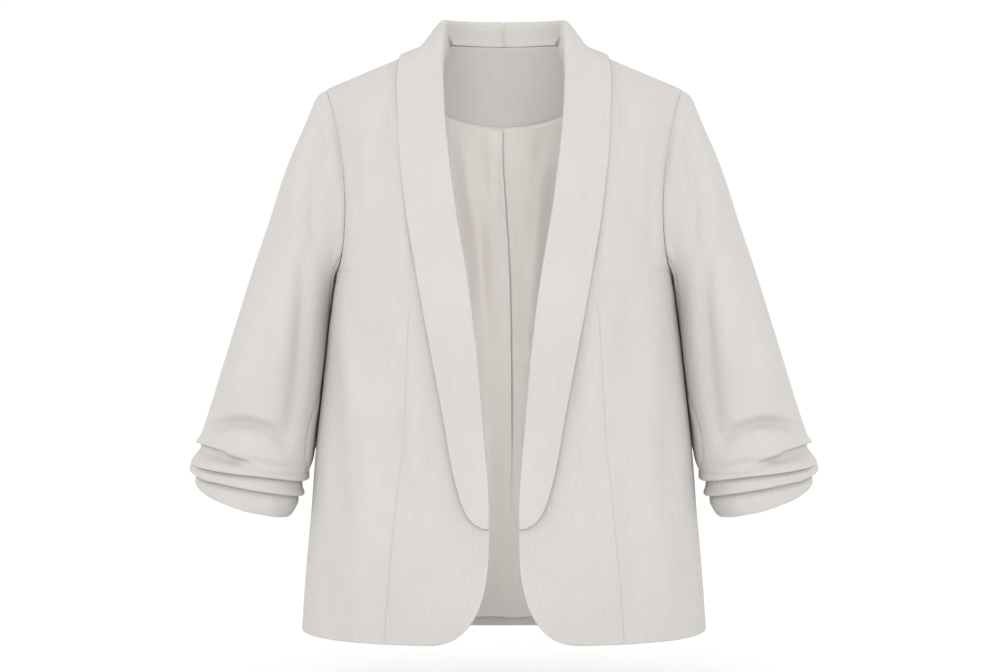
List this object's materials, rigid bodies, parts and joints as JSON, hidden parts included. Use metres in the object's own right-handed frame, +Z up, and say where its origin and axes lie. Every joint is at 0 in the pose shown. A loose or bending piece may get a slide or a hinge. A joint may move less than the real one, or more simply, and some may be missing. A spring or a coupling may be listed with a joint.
{
  "type": "shawl-collar blazer with gathered three-quarter sleeves",
  "caption": "Open-front blazer with a shawl collar, bust-to-hem darts and gathered three-quarter sleeves, worn and hollow.",
  "frame": {"origin": "the middle of the neck opening, level with the neckline seam, where the wearer's neck and shoulders hold the blazer", "axes": "+Z up, the fronts face -Y, the wearer's left is +X"},
  "size_m": [0.7172, 0.245, 0.7085],
  "materials": {
    "shell_fabric": "matt slubbed plain weave",
    "lining_fabric": "soft satin lining"
  },
  "bodies": {
    "root": {"front_left": "shell_fabric", "front_right": "shell_fabric", "back": "shell_fabric", "collar_left": "shell_fabric", "collar_right": "shell_fabric", "back_neck_facing": "shell_fabric", "back_lining": "lining_fabric", "sleeve_top_left": "shell_fabric", "sleeve_top_right": "shell_fabric", "sleeve_under_left": "shell_fabric", "sleeve_under_right": "shell_fabric"}
  },
  "joints": []
}
